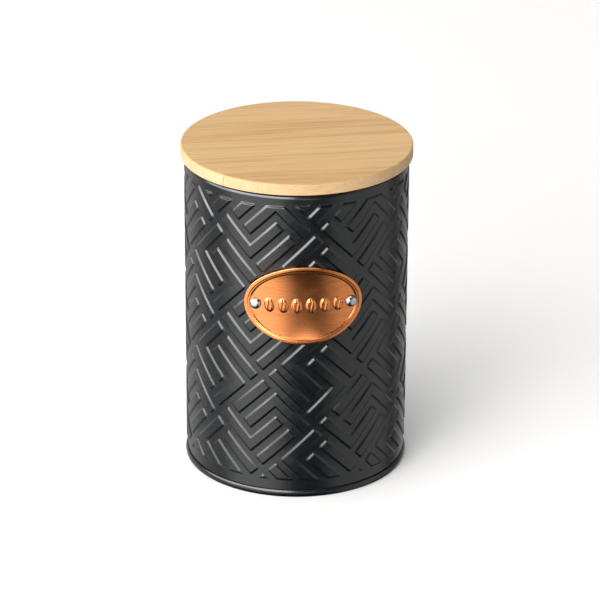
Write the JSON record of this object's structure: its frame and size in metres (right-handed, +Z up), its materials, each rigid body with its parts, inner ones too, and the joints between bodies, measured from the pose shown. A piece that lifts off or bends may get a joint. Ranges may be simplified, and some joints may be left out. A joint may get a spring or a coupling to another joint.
{
  "type": "kitchen canister",
  "caption": "Round black tinplate storage canister with a raised maze of diagonal bars, an oval copper label plate held by two rivets, and a lift-off bamboo lid with a silicone seal.",
  "frame": {"origin": "centre of the base, on the surface the canister stands on", "axes": "+Z up along the can's axis; -Y is the front, through the middle of the label plate; +X to the right seen from the front"},
  "size_m": [0.103, 0.103, 0.1508],
  "materials": {
    "black_enamel": "satin black baked enamel on tinplate",
    "copper": "brushed copper, lacquered",
    "rivet_steel": "polished",
    "bamboo": "clear satin varnish over fine straight grain",
    "silicone": "translucent white silicone"
  },
  "bodies": {
    "tin": {"body_wall": "black_enamel", "base_pan": "black_enamel", "label_plate": "copper", "rivet_left": "rivet_steel", "rivet_right": "rivet_steel"},
    "lid": {"lid_strip_1": "bamboo", "lid_strip_2": "bamboo", "lid_strip_3": "bamboo", "lid_strip_4": "bamboo", "lid_strip_5": "bamboo", "lid_strip_6": "bamboo", "lid_plug": "bamboo", "lid_seal": "silicone"}
  },
  "joints": [
    {"name": "lid_lift", "type": "slide", "parent": "tin", "child": "lid", "axis": [0, 0, 1], "range_m": [0, 0.12]}
  ]
}
